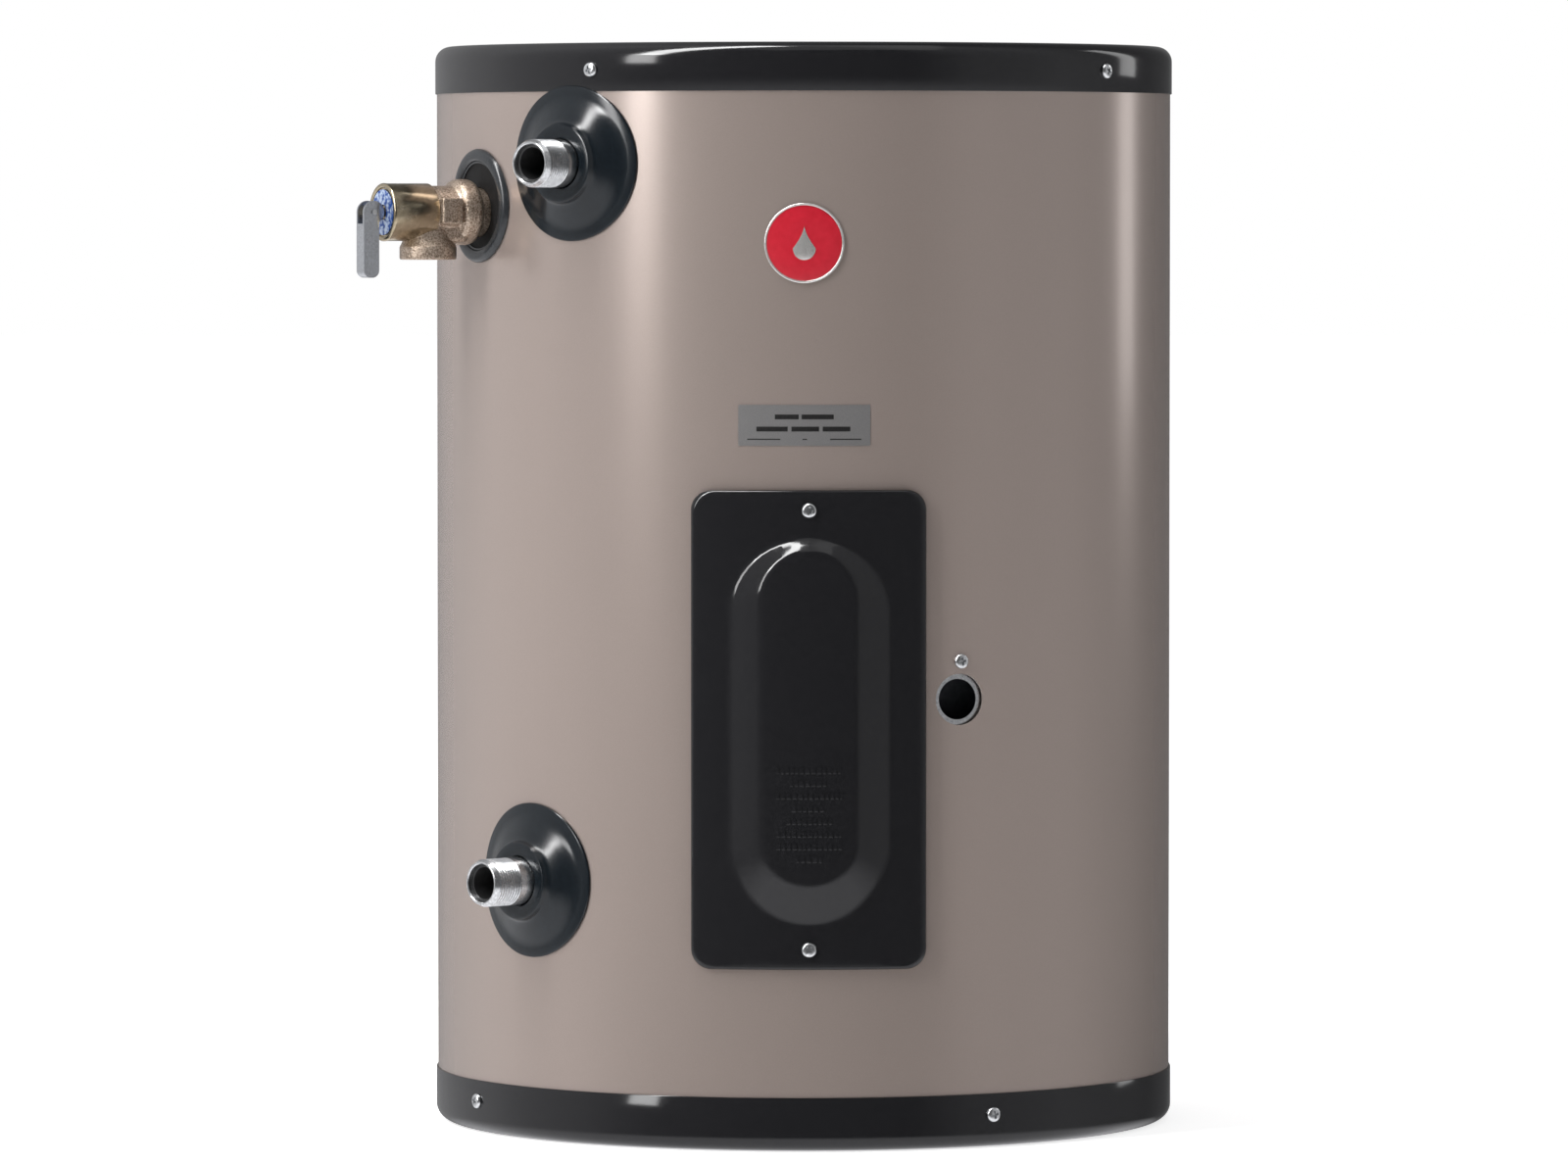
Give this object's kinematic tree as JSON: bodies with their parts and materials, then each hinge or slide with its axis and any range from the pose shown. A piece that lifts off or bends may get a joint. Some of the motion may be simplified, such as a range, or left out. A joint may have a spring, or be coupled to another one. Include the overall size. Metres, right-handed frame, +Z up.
{
  "type": "tank water heater",
  "caption": "Upright electric storage water heater with side pipe nipples, relief valve, drain valve, conduit entry and a removable front access cover.",
  "frame": {"origin": "tank axis at the underside of the bottom pan", "axes": "+Z up along the tank axis, -Y to the front with the access cover, +X to the right seen from the front"},
  "size_m": [0.4534, 0.4269, 0.604],
  "materials": {
    "jacket_paint": "satin metallic taupe enamel",
    "black_enamel": "gloss black enamel",
    "zinc": "bright zinc plate",
    "tank_steel": "dark coated steel",
    "boot_rubber": "moulded black rubber",
    "bronze": "sand cast bronze",
    "brass": "turned brass",
    "die_cast": "die-cast zinc",
    "foil": "printed foil",
    "dark_plastic": "dark gloss moulding",
    "liner_plastic": "dark plastic liner",
    "foam": "rigid foam",
    "moulded_foam": "white moulded foam",
    "box_plastic": "grey moulding",
    "phenolic": "phenolic moulding",
    "red_plastic": "red moulding",
    "clear_plastic": "amber moulding",
    "spring_steel": "spring steel",
    "element_sheath": "nickel alloy sheath",
    "magnesium": "magnesium",
    "red_enamel": "red enamel",
    "badge_metal": "bright rim",
    "label_grey": "grey printed plate",
    "wire_insulation": "insulated wire",
    "gasket_rubber": "black gasket"
  },
  "bodies": {
    "heater": {"jacket": "jacket_paint", "top_pan": "black_enamel", "bottom_pan": "black_enamel", "top_pan_screws": "zinc", "bottom_pan_screws": "zinc", "badge_plate": "badge_metal", "badge_enamel": "red_enamel", "name_label": "label_grey", "wiring_box": "box_plastic", "conduit_plate": "zinc", "ground_screw": "zinc", "side_insulation": "foam", "top_insulation": "foam", "base_pad": "moulded_foam", "tank_shell": "tank_steel", "tank_top_head": "tank_steel", "tank_bottom_head": "tank_steel", "hot_outlet_spud": "tank_steel", "cold_inlet_spud": "tank_steel", "relief_spud": "tank_steel", "drain_spud": "tank_steel", "element_spud": "tank_steel", "anode_spud": "tank_steel", "anode_plug": "zinc", "anode_rod": "magnesium", "hot_outlet_nipple": "zinc", "hot_outlet_liner": "liner_plastic", "hot_outlet_boot": "boot_rubber", "cold_inlet_nipple": "zinc", "cold_inlet_liner": "liner_plastic", "cold_inlet_boot": "boot_rubber", "relief_body": "bronze", "relief_bonnet": "brass", "relief_label_disc": "foil", "relief_escutcheon": "dark_plastic", "element_head": "zinc", "element_gasket": "gasket_rubber", "element_sheath": "element_sheath", "element_terminal_block": "phenolic", "thermostat_body": "phenolic", "limit_control": "phenolic", "terminal_screws": "brass", "terminal_shield": "clear_plastic", "thermostat_bracket": "spring_steel", "jumper_wires": "wire_insulation", "drain_body": "brass"},
    "cover": {"access_cover": "black_enamel", "access_cover_screws": "zinc", "access_insulation": "moulded_foam"},
    "dial": {"thermostat_dial": "moulded_foam"},
    "button": {"reset_button": "red_plastic"},
    "relief_plunger": {"relief_stem": "brass", "relief_disc": "brass", "relief_probe": "brass", "relief_spring": "spring_steel", "relief_lever_pin": "zinc"},
    "relief_handle": {"relief_lever": "die_cast"},
    "drain_spindle": {"drain_stem": "brass", "drain_handle": "dark_plastic"},
    "drain_carrier": {"drain_washer": "gasket_rubber"}
  },
  "joints": [
    {"name": "cover_removal", "type": "slide", "parent": "heater", "child": "cover", "axis": [0.0122, -0.9999, 0], "range_m": [0, 0.15]},
    {"name": "thermostat_dial_turn", "type": "hinge", "parent": "heater", "child": "dial", "pos_m": [0, -0.1963, 0.2385], "axis": [0, -1, 0], "range_deg": [-135, 135]},
    {"name": "reset_button_press", "type": "slide", "parent": "heater", "child": "button", "axis": [0, 1, 0], "range_m": [0, 0.0015], "stiffness_N_per_m": 600},
    {"name": "relief_stem_lift", "type": "slide", "parent": "heater", "child": "relief_plunger", "axis": [-0.8695, -0.4939, 0], "range_m": [0, 0.003], "stiffness_N_per_m": 3000, "springref_m": -0.002},
    {"name": "relief_lever_lift", "type": "hinge", "parent": "relief_plunger", "child": "relief_handle", "pos_m": [-0.23833, -0.13538, 0.5113], "axis": [-0.4939, 0.8695, 0], "range_deg": [0, 90]},
    {"name": "drain_handle_turn", "type": "hinge", "parent": "heater", "child": "drain_spindle", "pos_m": [-0.16723, 0.16723, 0.075], "axis": [-0.7071, 0.7071, 0], "range_deg": [0, 720]},
    {"name": "drain_carrier_lift", "type": "slide", "parent": "heater", "child": "drain_carrier", "axis": [-0.7071, 0.7071, 0], "range_m": [0, 0.0041]}
  ],
  "couplings": [
    {"joint": "relief_lever_lift", "follows": "relief_stem_lift", "rad_per_m": 523.6},
    {"joint": "drain_carrier_lift", "follows": "drain_handle_turn", "m_per_rad": 0.00031831}
  ]
}
